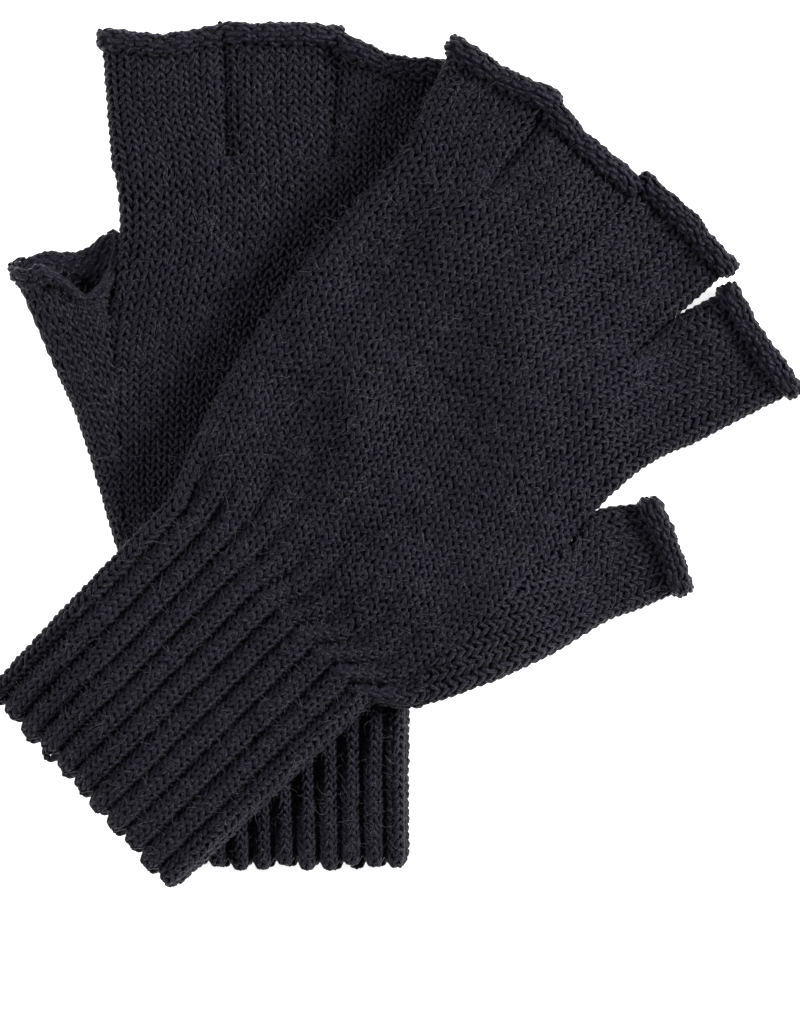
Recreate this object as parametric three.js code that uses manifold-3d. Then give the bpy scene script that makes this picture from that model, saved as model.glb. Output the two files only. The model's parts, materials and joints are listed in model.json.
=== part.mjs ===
// A pair of plain knitted half-finger gloves lying one on the other, backs up.
// Each glove is a ribbed cuff, a hand, four short finger tubes and a thumb tube,
// a rolled rim of fabric round the mouth of each tube, and a small darned knot
// that closes the knitting at each fork. The right-hand glove lies flat on the
// surface and the left-hand glove is draped across it.
// Millimetres, +Z up, +Y towards the fingertips of the right-hand glove.
import * as THREE from "three";
import { mergeVertices } from "three/addons/utils/BufferGeometryUtils.js";
import Module from "manifold-3d";

const wasm = await Module();
wasm.setup();

// ---- driving dimensions, mm ----
const UNIT = 0.25; // the outlines below are drawn on a quarter-millimetre grid
const WALL = 1.9; // thickness of one layer of the hand's fabric
const CUFF_WALL = 2.0; // thickness of one layer of ribbing in a valley
const HAND_T = 9.4; // height of the hand lying flat, both layers and the air between
const FINGER_T = 9.4; // height of a finger tube
const CUFF_T = 10.0; // height of the cuff over its ridges
const RIB_DEPTH = 0.8; // ridge to valley of the ribbing
const RIBS = 10; // ridges across one face of a cuff
const RIM_R = 1.3; // half the thickness of a rolled rim
const RIM_AXIAL = 4.6; // length of a rolled rim along its tube
const RIM_PROUD = 0.6; // how far a rim stands out past the side of its tube
const JOIN_GAP = 0.35; // clearance between pieces that meet end to end
const KNOT_R = 1.9; // half width of a darned knot
const KNOT_POCKET = 2.5; // half width of the pocket that it sits in
const LEFT_TURN = -44; // degrees that the left-hand glove is turned about Z
const DRAPE_H = 11.2; // how high the upper glove is lifted where it crosses the lower one
const DRAPE_MARGIN = 2.5; // flat shelf round the lower glove before the fall starts
const DRAPE_FALL = 34; // length of the fall down to the surface

// ---- outlines, in grid units; y grows towards the wrist ----
const RIGHT = {
  origin: [400, 512],
  cuff: [
    [[166, 866], [409, 866]],
    [[160, 760], [409, 760]],
    [[154, 680], [411, 680]],
    [[129, 580], [421, 580]],
  ],
  palm: [
    [[128, 578], [422, 578]],
    [[116, 552], [434, 548]],
    [[111, 500], [456, 495]],
    [[108, 440], [480, 430]],
    [[106, 380], [497, 370]],
    [[108, 315], [508, 300]],
    [[118, 232], [516, 240]],
    [[113, 167], [518, 205]],
    [[112, 135], [519, 170]],
  ],
  fingerLine: [[40, 172], [113, 167], [228, 161], [334, 161], [430, 173], [518, 205], [600, 235]],
  gusset: [
    [[124, 560], [190, 505]],
    [[101, 480], [165, 432]],
    [[78, 408], [134, 362]],
    [[62, 372], [108, 315]],
  ],
  thumbTip: [[16, 289], [108, 243]],
  forks: { index_middle: [228, 161], middle_ring: [334, 161], ring_little: [430, 173], thumb: [109, 317] },
  fingers: {
    index: [[[113, 167], [226, 161]], [[104, 52], [220, 46]]],
    middle: [[[230, 161], [332, 161]], [[226, 45], [333, 47]]],
    ring: [[[336, 161], [428, 173]], [[342, 54], [444, 80]]],
    little: [[[432, 173], [517, 205]], [[452, 110], [526, 140]]],
  },
};
const LEFT = {
  origin: [644, 647],
  cuff: [
    [[470, 1062], [745, 1077]],
    [[468, 960], [750, 968]],
    [[468, 870], [754, 880]],
    [[468, 794], [758, 804]],
  ],
  palm: [
    [[468, 792], [758, 802]],
    [[455, 765], [787, 772]],
    [[444, 735], [799, 738]],
    [[435, 705], [796, 705]],
    [[420, 650], [790, 650]],
    [[407, 570], [791, 580]],
    [[399, 500], [784, 508]],
    [[395, 430], [790, 434]],
    [[392, 374], [805, 396]],
    [[389, 342], [816, 364]],
  ],
  fingerLine: [[300, 366], [392, 374], [485, 364], [586, 370], [701, 377], [805, 396], [900, 410]],
  gusset: [
    [[700, 668], [789, 767]],
    [[716, 648], [812, 738]],
    [[732, 628], [833, 704]],
    [[764, 588], [859, 640]],
    [[790, 553], [874, 580]],
  ],
  thumbTip: [[806, 487], [893, 522]],
  forks: { index_middle: [701, 377], middle_ring: [586, 370], ring_little: [485, 364], thumb: [789, 555] },
  fingers: {
    little: [[[392, 374], [483, 364]], [[362, 287], [467, 259]]],
    ring: [[[487, 364], [584, 370]], [[477, 263], [582, 262]]],
    middle: [[[588, 370], [699, 377]], [[591, 252], [712, 257]]],
    index: [[[703, 377], [805, 396]], [[723, 276], [835, 308]]],
  },
};
// what the lower glove covers, as the convex outline that the upper one falls away from
const UNDER = [
  [100, 30], [445, 30], [532, 108], [528, 240], [510, 420], [482, 560], [411, 868],
  [160, 868], [112, 560], [100, 300],
];

const mm = (origin, [x, y]) => new THREE.Vector2((x - origin[0]) * UNIT, (origin[1] - y) * UNIT);

// ---- solids and geometries ----
function toSolid(geometry) {
  const g = geometry.clone();
  for (const name of Object.keys(g.attributes)) if (name !== "position") g.deleteAttribute(name);
  const merged = mergeVertices(g, 1e-4);
  return new wasm.Manifold(
    new wasm.Mesh({
      numProp: 3,
      vertProperties: Float32Array.from(merged.attributes.position.array),
      triVerts: Uint32Array.from(merged.index.array),
    }),
  );
}
function toGeometry(solid) {
  const m = solid.getMesh();
  const positions = new Float32Array(m.numVert * 3);
  for (let i = 0; i < m.numVert; i++)
    for (let k = 0; k < 3; k++) positions[i * 3 + k] = m.vertProperties[i * m.numProp + k];
  return new THREE.BufferGeometry()
    .setAttribute("position", new THREE.BufferAttribute(positions, 3))
    .setIndex(new THREE.BufferAttribute(Uint32Array.from(m.triVerts), 1));
}
// A prism standing on the outline, from z0 to z1.
function prism(points, z0, z1) {
  const g = new THREE.ExtrudeGeometry(new THREE.Shape(points), {
    depth: z1 - z0,
    bevelEnabled: false,
    steps: 1,
  });
  return toSolid(g.translate(0, 0, z0));
}

// The section of a flat tube between the side points L and R: rounded sides and a
// flat top and bottom. Returns matching rows of points along the top and bottom,
// which share their first and last point.
function section(L, R, z0, T, n, ribbed) {
  const width = L.distanceTo(R);
  const e = Math.min(T * 0.6, width * 0.3);
  const dir = R.clone().sub(L).divideScalar(width);
  const marks = []; // [distance from L, height as a share of T / 2]
  for (const a of [0, 30, 60]) {
    const r = THREE.MathUtils.degToRad(a);
    marks.push([e - e * Math.cos(r), Math.sin(r), 0]);
  }
  const flat = width - 2 * e;
  for (let i = 0; i <= n; i++) marks.push([e + (flat * i) / n, 1, ribbed && i % 2 ? RIB_DEPTH : 0]);
  for (const a of [60, 30, 0]) {
    const r = THREE.MathUtils.degToRad(a);
    marks.push([width - e + e * Math.cos(r), Math.sin(r), 0]);
  }
  const top = [], bottom = [];
  for (const [s, h, dip] of marks) {
    const p = L.clone().addScaledVector(dir, s);
    const half = (T / 2) * h - dip;
    top.push(new THREE.Vector3(p.x, p.y, z0 + T / 2 + half));
    bottom.push(new THREE.Vector3(p.x, p.y, z0 + T / 2 - half));
  }
  return { top, bottom };
}
// Skins a row of matching sections and closes both ends.
function loft(sections) {
  const n = sections[0].top.length;
  const ring = [];
  const positions = [];
  for (const s of sections) {
    const id = { top: [], bottom: [] };
    for (let i = 0; i < n; i++) {
      id.top.push(positions.length / 3);
      positions.push(...s.top[i].toArray());
      if (i === 0 || i === n - 1) id.bottom.push(id.top[i]);
      else {
        id.bottom.push(positions.length / 3);
        positions.push(...s.bottom[i].toArray());
      }
    }
    ring.push(id);
  }
  const index = [];
  const quad = (a, b, c, d) => {
    if (a !== b && b !== c && a !== c) index.push(a, b, c);
    if (a !== c && c !== d && a !== d) index.push(a, c, d);
  };
  for (let k = 0; k + 1 < ring.length; k++)
    for (let i = 0; i + 1 < n; i++) {
      quad(ring[k].top[i], ring[k].top[i + 1], ring[k + 1].top[i + 1], ring[k + 1].top[i]);
      quad(ring[k].bottom[i], ring[k + 1].bottom[i], ring[k + 1].bottom[i + 1], ring[k].bottom[i + 1]);
    }
  const a = ring[0], z = ring[ring.length - 1];
  for (let i = 0; i + 1 < n; i++) {
    quad(a.top[i], a.bottom[i], a.bottom[i + 1], a.top[i + 1]);
    quad(z.top[i], z.top[i + 1], z.bottom[i + 1], z.bottom[i]);
  }
  return new THREE.BufferGeometry()
    .setAttribute("position", new THREE.Float32BufferAttribute(positions, 3))
    .setIndex(index);
}

// Cuts the rows so that no step along the tube is longer than `step`.
function densify(rows, step) {
  const out = [rows[0]];
  for (let i = 0; i + 1 < rows.length; i++) {
    const [a, b] = [rows[i], rows[i + 1]];
    const n = Math.max(1, Math.round(Math.max(a[0].distanceTo(b[0]), a[1].distanceTo(b[1])) / step));
    for (let k = 1; k <= n; k++)
      out.push([a[0].clone().lerp(b[0], k / n), a[1].clone().lerp(b[1], k / n)]);
  }
  return out;
}
// The same rows, pulled in by `wall` at each side and run on by `past` at each end.
function inset(rows, wall, past) {
  const out = rows.map(([L, R]) => {
    const d = R.clone().sub(L).normalize().multiplyScalar(wall);
    return [L.clone().add(d), R.clone().sub(d)];
  });
  const push = (a, b) => a.map((p, i) => p.clone().add(p.clone().sub(b[i]).normalize().multiplyScalar(past)));
  return [push(out[0], out[1]), ...out, push(out[out.length - 1], out[out.length - 2])];
}
// How many strips the flat part of the widest row is cut into.
const strips = (rows, step) => Math.max(1, Math.round((Math.max(...rows.map(([L, R]) => L.distanceTo(R))) - 10) / step));
function tube(rows, T, wall, step, options = {}) {
  const n = strips(rows, step);
  const z = options.innerZ ?? wall;
  const outer = loft(rows.map(([L, R]) => section(L, R, 0, T, options.ribs ? 2 * options.ribs - 2 : n, options.ribs)));
  const inner = loft(inset(rows, wall, 3).map(([L, R]) => section(L, R, z, T - 2 * z, n)));
  return { outer: toSolid(outer), inner: toSolid(inner) };
}

// A rolled rim: a flattened round bead swept round the mouth of a tube.
function rim(L, R, outward, T, sides) {
  const width = L.distanceTo(R) + 2 * RIM_PROUD;
  const mid = L.clone().add(R).multiplyScalar(0.5);
  const dir = R.clone().sub(L).normalize();
  const H = T + 1.1;
  const a = width / 2 - RIM_R, b = H / 2 - RIM_R;
  const path = [];
  const e = Math.min(b * 1.2, a);
  const push = (s, z) => path.push([s, z]);
  const arcs = [0, 45, 90];
  for (const d of arcs) push(a - e + e * Math.cos(THREE.MathUtils.degToRad(d)), b * Math.sin(THREE.MathUtils.degToRad(d)));
  for (const f of [0.5]) push((a - e) * (1 - 2 * f), b);
  for (const d of arcs) push(-(a - e) - e * Math.sin(THREE.MathUtils.degToRad(d)), b * Math.cos(THREE.MathUtils.degToRad(d)));
  push(-(a - e) - e * Math.cos(THREE.MathUtils.degToRad(45)), -b * Math.sin(THREE.MathUtils.degToRad(45)));
  push(-(a - e), -b);
  push(0, -b);
  push(a - e, -b);
  push(a - e + e * Math.cos(THREE.MathUtils.degToRad(45)), -b * Math.sin(THREE.MathUtils.degToRad(45)));
  const n = path.length;
  const positions = [];
  for (let i = 0; i < n; i++) {
    const p = path[i], q = path[(i + 1) % n], o = path[(i + n - 1) % n];
    const t = new THREE.Vector2(q[0] - o[0], q[1] - o[1]).normalize();
    const out = new THREE.Vector2(t.y, -t.x); // away from the middle of the mouth
    for (let k = 0; k < sides; k++) {
      const w = (2 * Math.PI * (k + 0.5)) / sides;
      const radial = RIM_R * Math.cos(w), axial = (RIM_AXIAL / 2) * Math.sin(w);
      const s = p[0] + out.x * radial, z = p[1] + out.y * radial;
      const at = mid.clone().addScaledVector(dir, s).addScaledVector(outward, JOIN_GAP + RIM_AXIAL / 2 + axial);
      positions.push(at.x, at.y, H / 2 + z);
    }
  }
  const index = [];
  for (let i = 0; i < n; i++)
    for (let k = 0; k < sides; k++) {
      const a0 = i * sides + k, a1 = i * sides + ((k + 1) % sides);
      const b0 = ((i + 1) % n) * sides + k, b1 = ((i + 1) % n) * sides + ((k + 1) % sides);
      index.push(a0, a1, b1, a0, b1, b0);
    }
  return new THREE.BufferGeometry()
    .setAttribute("position", new THREE.Float32BufferAttribute(positions, 3))
    .setIndex(index);
}

// ---- the drape of the upper glove ----
const under = UNDER.map((p) => mm(RIGHT.origin, p));
function liftAt(x, y) {
  let inside = true, best = Infinity;
  const p = new THREE.Vector2(x, y);
  for (let i = 0; i < under.length; i++) {
    const a = under[i], b = under[(i + 1) % under.length];
    const ab = b.clone().sub(a), ap = p.clone().sub(a);
    if (ab.x * ap.y - ab.y * ap.x > 0) inside = false;
    const t = THREE.MathUtils.clamp(ap.dot(ab) / ab.lengthSq(), 0, 1);
    best = Math.min(best, ap.addScaledVector(ab, -t).length());
  }
  const d = inside ? 0 : best;
  return DRAPE_H * (1 - THREE.MathUtils.smoothstep(d, DRAPE_MARGIN, DRAPE_MARGIN + DRAPE_FALL));
}
function drape(geometry) {
  const turn = THREE.MathUtils.degToRad(LEFT_TURN);
  const pos = geometry.attributes.position;
  for (let i = 0; i < pos.count; i++) {
    const x = pos.getX(i), y = pos.getY(i);
    const wx = x * Math.cos(turn) - y * Math.sin(turn), wy = x * Math.sin(turn) + y * Math.cos(turn);
    pos.setZ(i, pos.getZ(i) + liftAt(wx, wy));
  }
  return geometry;
}

// ---- one glove ----
const WOOL = { roughness: 0.95, metalness: 0 };
const COLOURS = { hand: 0x1b1b20, cuff: 0x19191e, finger: 0x1c1c21, rim: 0x202026, knot: 0x17171b };

function glove(side, data, step, draped) {
  const group = new THREE.Group();
  const P = (p) => mm(data.origin, p);
  const rowsOf = (list) => list.map((row) => row.map(P));
  const add = (name, geometry, colour) => {
    const g = draped ? drape(geometry) : geometry;
    g.computeVertexNormals();
    const mesh = new THREE.Mesh(g, new THREE.MeshStandardMaterial({ ...WOOL, color: colour }));
    mesh.name = side + "_" + name;
    group.add(mesh);
  };
  const knotShape = (centre, r) =>
    Array.from({ length: 8 }, (_, i) => {
      const a = (Math.PI / 4) * (i + 0.5);
      return new THREE.Vector2(centre.x + r * Math.cos(a), centre.y + r * Math.sin(a));
    });
  const pockets = Object.values(data.forks).map((f) => prism(knotShape(P(f), KNOT_POCKET), -20, 40));
  const carve = (solid) => pockets.reduce((s, p) => s.subtract(p), solid);

  // cuff
  const cuffRows = densify(rowsOf(data.cuff), step * 1.25);
  const cuff = tube(cuffRows, CUFF_T, CUFF_WALL, step * 1.25, { ribs: RIBS + 1, innerZ: CUFF_WALL + RIB_DEPTH * 0.5 });
  add("cuff", toGeometry(cuff.outer.subtract(cuff.inner)), COLOURS.cuff);

  // hand, with the gusset that carries the thumb
  const palmRows = densify(rowsOf(data.palm), step);
  const palm = tube(palmRows, HAND_T, WALL, step);
  const gussetRows = rowsOf(data.gusset);
  const tip = data.thumbTip.map(P);
  const gusset = tube(densify([...gussetRows, tip], step), HAND_T, WALL, step);
  const base = gussetRows[gussetRows.length - 1];
  const along = base[1].clone().sub(base[0]).normalize();
  const away = tip[0].clone().add(tip[1]).sub(base[0]).sub(base[1]).normalize();
  const normal = new THREE.Vector2(-along.y, along.x);
  if (normal.dot(away) < 0) normal.negate();
  const halfPlane = (offset, sign) => {
    const m = base[0].clone().add(base[1]).multiplyScalar(0.5).addScaledVector(normal, offset);
    const a = m.clone().addScaledVector(along, -90), b = m.clone().addScaledVector(along, 90);
    return prism(
      [a, b, b.clone().addScaledVector(normal, 90 * sign), a.clone().addScaledVector(normal, 90 * sign)],
      -20,
      40,
    );
  };
  const line = data.fingerLine.map(P);
  const below = prism([...line, new THREE.Vector2(160, -120), new THREE.Vector2(-160, -120)], -20, 40);
  const throatRows = densify([...gussetRows.slice(1), tip], step);
  const throat = toSolid(
    loft(
      inset(throatRows, WALL, 0)
        .slice(1, -1)
        .map(([L, R]) => section(L, R, WALL, HAND_T - 2 * WALL, strips(throatRows, step))),
    ),
  );
  const hand = palm.outer
    .intersect(below)
    .add(gusset.outer.intersect(halfPlane(0, -1)))
    .subtract(palm.inner)
    .subtract(throat);
  add("hand", toGeometry(carve(hand)), COLOURS.hand);

  // thumb
  const thumbRows = densify([base, tip], step).map(([L, R]) => [L.clone(), R.clone()]);
  const thumb = tube(inset(thumbRows, 0, 2).slice(0, -1), FINGER_T, WALL, step);
  const thumbSolid = thumb.outer.intersect(halfPlane(JOIN_GAP, 1)).subtract(thumb.inner);
  add("thumb", toGeometry(carve(thumbSolid)), COLOURS.finger);
  const rimSides = 6;
  const outwardOf = (a, b) => {
    const across = b[1].clone().sub(b[0]).normalize();
    const n = new THREE.Vector2(-across.y, across.x);
    return n.dot(b[0].clone().add(b[1]).sub(a[0]).sub(a[1])) < 0 ? n.negate() : n;
  };
  add("thumb_rim", rim(tip[0], tip[1], outwardOf(base, tip), FINGER_T, rimSides), COLOURS.rim);

  // fingers
  for (const [name, [root, end]] of Object.entries(data.fingers)) {
    const rows = [root.map(P), end.map(P)];
    const up = outwardOf(rows[0], rows[1]);
    const start = rows[0].map((p) => p.clone().addScaledVector(up, JOIN_GAP));
    const t = tube(densify([start, rows[1]], step), FINGER_T, WALL, step);
    add(name, toGeometry(carve(t.outer.subtract(t.inner))), COLOURS.finger);
    add(name + "_rim", rim(rows[1][0], rows[1][1], up, FINGER_T, rimSides), COLOURS.rim);
  }

  // darned knots
  for (const [name, at] of Object.entries(data.forks)) {
    const c = P(at);
    const low = 0.4, high = HAND_T + 0.2;
    const body = new THREE.LatheGeometry(
      [
        [0, low], [KNOT_R * 0.6, low], [KNOT_R, low + 1], [KNOT_R, high - 1], [KNOT_R * 0.6, high], [0, high],
      ].map(([r, z]) => new THREE.Vector2(r, z)),
      8,
    )
      .rotateX(Math.PI / 2)
      .rotateZ(Math.PI / 8)
      .translate(c.x, c.y, 0);
    add("knot_" + name, toGeometry(toSolid(body)), COLOURS.knot);
  }
  return group;
}

const gloves = new THREE.Group();
gloves.add(glove("right", RIGHT, 40, false));
const upper = glove("left", LEFT, 7, true);
upper.rotation.z = THREE.MathUtils.degToRad(LEFT_TURN);
gloves.add(upper);

// The origin is under the middle of the pair, on the surface it lies on.
gloves.updateMatrixWorld(true);
const box = new THREE.Box3();
gloves.traverse((o) => {
  if (o.isMesh) box.union(new THREE.Box3().setFromObject(o, true));
});
const centre = box.getCenter(new THREE.Vector3());
gloves.position.set(-centre.x, -centre.y, -box.min.z);

const root = new THREE.Group();
root.add(gloves);
export default root;
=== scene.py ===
"""A pair of black knitted half-finger gloves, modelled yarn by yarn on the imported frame.

Every piece of fabric is real knitting: each course is one yarn path of interlocked loops laid on the surface of its
tube, so the stockinette, the ribbing, the purl side on the rolled rims and the scalloped cuff edge are all geometry.
"""
import bpy
import json
import math
import numpy as np
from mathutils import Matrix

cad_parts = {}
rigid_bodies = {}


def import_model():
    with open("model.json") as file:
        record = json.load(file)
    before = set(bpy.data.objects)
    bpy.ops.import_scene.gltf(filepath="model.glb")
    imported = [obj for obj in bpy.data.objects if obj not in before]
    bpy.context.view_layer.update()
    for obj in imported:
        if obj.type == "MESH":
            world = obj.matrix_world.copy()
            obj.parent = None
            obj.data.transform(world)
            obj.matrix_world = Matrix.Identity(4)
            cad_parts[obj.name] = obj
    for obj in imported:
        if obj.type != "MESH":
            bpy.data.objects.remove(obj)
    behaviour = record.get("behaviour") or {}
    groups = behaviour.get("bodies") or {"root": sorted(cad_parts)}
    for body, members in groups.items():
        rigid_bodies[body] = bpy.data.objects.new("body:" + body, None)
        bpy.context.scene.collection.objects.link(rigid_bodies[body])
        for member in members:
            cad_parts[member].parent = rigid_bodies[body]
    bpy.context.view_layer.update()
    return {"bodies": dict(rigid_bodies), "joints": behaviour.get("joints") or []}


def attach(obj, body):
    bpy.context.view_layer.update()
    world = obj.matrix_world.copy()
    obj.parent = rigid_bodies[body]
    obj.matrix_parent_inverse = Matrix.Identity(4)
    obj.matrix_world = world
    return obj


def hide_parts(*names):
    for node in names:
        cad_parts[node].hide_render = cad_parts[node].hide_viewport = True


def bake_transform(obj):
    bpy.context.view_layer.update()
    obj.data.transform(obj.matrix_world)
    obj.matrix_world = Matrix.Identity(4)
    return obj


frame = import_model()

# ---------------------------------------------------------------- dimensions, mm
U = 0.25
SHIFT = np.array([3.1037131, -13.408449])     # row frame minus layout frame
TURN = math.radians(-44.0)
DRAPE_H, DRAPE_MARGIN, DRAPE_FALL = 11.2, 2.5, 34.0
WALE = 3.04
COURSE = 2.07
YARN_R = 0.60
AMP_A, AMP_B, AMP_C = 0.285, 0.80, 0.66
SKIN = 1.26                                    # fabric mid-surface below the outer envelope
NF = 33                                        # wales across one face of a glove
RIM_AX, RIM_N = 1.95, 1.6
rng = np.random.default_rng(11)

RIGHT = dict(
    side="right", origin=(400, 512), thumb_sign=-1,
    cuff=[[(166, 866), (409, 866)], [(160, 760), (409, 760)], [(154, 680), (411, 680)], [(127, 579), (421, 579)]],
    palm=[[(127, 579), (421, 579)], [(113, 548), (434, 546)], [(105, 500), (456, 495)], [(101, 440), (480, 430)],
          [(99, 380), (497, 370)], [(104, 322), (508, 300)], [(117, 250), (514, 258)], [(118, 215), (517, 230)],
          [(113, 166), (518, 205)]],
    line=[(113, 166), (228, 161), (334, 161), (430, 173), (518, 205)],
    gusset=[[(118, 560), (190, 505)], [(95, 480), (165, 432)], [(71.5, 408), (134, 362)], [(55, 372), (113, 313)]],
    thumb_top=[(14, 282), (107, 312)], thumb_bot=[(15, 275), (130, 219)],
    seam=[(108, 315), (112, 340), (118, 400), (122, 480), (126, 545), (106, 562)],
    forks=dict(index_middle=(228, 163), middle_ring=(334, 163), ring_little=(430, 175), thumb=(108, 322)),
    fingers=dict(
        index=([(110, 167), (231, 161)], [(101, 51), (228, 46)], 11, "L", 2.0),
        middle=([(225, 161), (337, 161)], [(221, 45), (341, 47)], 10, "", -0.2),
        ring=([(331, 161), (431, 173)], [(335, 54), (448, 84)], 10, "", 2.0),
        little=([(431, 173), (518, 205)], [(450, 112), (526, 142)], 9, "R", 0.5)),
    loops=[("index", (102, 36), 60, 0.7), ("middle", (338, 36), 120, 0.7)],
    thumb_n=9, thumb_more=0.6, thumb_mid=None, thumb_sag=(-6.2, 2.4, 1.35), thumb_roll=([0, 0.5, 0.8, 1.0, 1.2, 1.5, 2], [1, 1, 0.6, 0.3, 0.45, 0.9, 1]),
)
LEFT = dict(
    side="left", origin=(644, 647), thumb_sign=1,
    cuff=[[(470, 1062), (745, 1077)], [(468, 960), (750, 968)], [(468, 870), (754, 880)], [(468, 793), (758, 803)]],
    palm=[[(468, 793), (758, 803)], [(455, 765), (793, 777)], [(444, 735), (806, 742)], [(435, 705), (806, 705)],
          [(420, 650), (803, 650)], [(408, 580), (800, 590)], [(402, 530), (787, 542)], [(399, 500), (785, 508)],
          [(395, 430), (793, 434)], [(392, 374), (808, 396)]],
    line=[(392, 374), (485, 364), (586, 370), (701, 377), (808, 396)],
    gusset=[[(700, 668), (797, 770)], [(716, 648), (813, 740)], [(732, 628), (831, 702)], [(764, 588), (855, 639)],
            [(787, 555), (871, 580)]],
    thumb_top=[(809, 485), (896, 525)], thumb_bot=[(809, 483), (896, 523)],
    seam=[(790, 553), (787, 580), (780, 650), (774, 740), (793, 768)],
    forks=dict(index_middle=(701, 379), middle_ring=(586, 372), ring_little=(485, 366), thumb=(789, 560)),
    fingers=dict(
        little=([(391, 374), (488, 364)], [(359, 287), (476, 257)], 10, "L", 1.0),
        ring=([(482, 364), (589, 370)], [(470, 265), (592, 264)], 10, "", 0.9),
        middle=([(583, 370), (704, 377)], [(585.5, 252), (713, 255)], 11, "", -0.4),
        index=([(699, 377), (809, 396)], [(702, 330), (824, 350)], [(720, 271), (843, 298)], 11, "R", 0.8)),
    loops=[("ring", (572, 246), -30, 0.9), ("middle", (603, 235), 5, 0.95), ("middle", (693, 238), 30, 0.8), ("index", (829, 285), -30, 0.9)],
    thumb_n=9, thumb_more=4.6, thumb_mid=[(780, 519), (884, 553)], thumb_sag=(-0.6, -0.6, 1.0), thumb_roll=([0, 2], [1, 1]),
)
UNDER = [(100, 30), (445, 30), (532, 108), (528, 240), (510, 420), (482, 560), (411, 868), (160, 868), (112, 560), (100, 300)]


def loc(data, p):
    o = data["origin"]
    p = np.asarray(p, float)
    return np.stack([(p[..., 0] - o[0]) * U, (o[1] - p[..., 1]) * U], -1)


def smooth(x, a=0.0, b=1.0):
    t = np.clip((x - a) / (b - a), 0, 1)
    return t * t * (3 - 2 * t)


# ---------------------------------------------------------------- the drape of the upper glove
under = np.stack([((x - 400) * U, (512 - y) * U) for x, y in UNDER])


def lift(x, y):
    inside = np.ones(x.shape, bool)
    best = np.full(x.shape, 1e9)
    for i in range(len(under)):
        a, b = under[i], under[(i + 1) % len(under)]
        ab = b - a
        px, py = x - a[0], y - a[1]
        inside &= ~((ab[0] * py - ab[1] * px) > 0)
        t = np.clip((px * ab[0] + py * ab[1]) / (ab @ ab), 0, 1)
        best = np.minimum(best, np.hypot(px - ab[0] * t, py - ab[1] * t))
    d = np.where(inside, 0, best)
    return DRAPE_H * (1 - smooth(d, DRAPE_MARGIN, DRAPE_MARGIN + DRAPE_FALL))


# soft rises and hollows of the resting fabric, in layout units of a quarter millimetre: (x, y, half length, half width, turn in degrees
# from the x axis, height in mm)
SWELLS = dict(
    left=[(357, 428, 60, 30, 78, 3.4), (288, 392, 34, 20, 62, -1.6), (268, 482, 36, 17, 62, -1.6), (452, 425, 75, 40, 80, -2.0),
          (608, 408, 62, 34, 68, 3.0), (388, 585, 48, 36, 20, 2.9), (375, 537, 80, 11, 24, -2.4), (385, 245, 60, 24, 58, -1.6),
          (470, 225, 70, 26, 58, 1.6), (520, 520, 60, 34, 60, -1.3), (500, 600, 60, 30, 30, 1.5), (700, 330, 46, 20, -35, 1.0),
          (318, 300, 50, 20, 62, 1.4), (590, 310, 60, 22, 45, -1.5), (650, 250, 40, 20, 45, 1.2), (560, 190, 40, 18, 45, 1.0),
          (505, 330, 40, 26, 60, 1.2), (235, 440, 40, 16, 60, 1.0), (440, 655, 40, 20, 20, 1.0)],
    right=[(190, 260, 90, 40, 80, 0.6), (140, 420, 70, 25, 75, -0.5), (290, 200, 80, 35, 85, -0.4), (60, 330, 50, 18, 60, -0.6)],
)


def swell(data, x, y):
    """Height in mm at a point of a glove's own layout."""
    if data["side"] == "left":
        c, s = math.cos(TURN), math.sin(TURN)
        x, y = x * c - y * s, x * s + y * c
    out = np.zeros_like(x)
    for px, py, length, width, turn, h in SWELLS[data["side"]]:
        u, w = x - (px - 400) * U, y - (512 - py) * U
        c, s = math.cos(math.radians(turn)), math.sin(math.radians(turn))
        out += 1.35 * h * np.exp(-((u * c + w * s) / (length * U)) ** 2 - ((w * c - u * s) / (width * U)) ** 2)
    out += 0.30 * np.sin(x * 0.31 + 1.3 * np.sin(y * 0.17)) * np.sin(y * 0.27 + 0.7 + np.sin(x * 0.13))
    return out


def place(data, p, n):
    """Layout point and normal of a flat-lying glove to the row frame, draped, in mm."""
    x, y, z = p[..., 0], p[..., 1], p[..., 2]
    nx, ny, nz = n[..., 0], n[..., 1], n[..., 2]
    up = smooth(z, 3.5, 6.5)

    def height(x, y):
        if data["side"] == "left":
            c, s = math.cos(TURN), math.sin(TURN)
            return lift(x * c - y * s, x * s + y * c)
        return np.zeros_like(x)

    e = 0.4
    h = height(x, y) + up * swell(data, x, y)
    hx = (height(x + e, y) + up * swell(data, x + e, y) - h) / e
    hy = (height(x, y + e) + up * swell(data, x, y + e) - h) / e
    q = np.stack([x, y, z + h], -1)
    m = np.stack([nx - nz * hx, ny - nz * hy, nz], -1)
    m /= np.linalg.norm(m, axis=-1, keepdims=True)
    if data["side"] == "left":
        c, s = math.cos(TURN), math.sin(TURN)
        q = np.stack([q[..., 0] * c - q[..., 1] * s, q[..., 0] * s + q[..., 1] * c, q[..., 2]], -1)
        m = np.stack([m[..., 0] * c - m[..., 1] * s, m[..., 0] * s + m[..., 1] * c, m[..., 2]], -1)
    q[..., :2] += SHIFT
    return q, m


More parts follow.
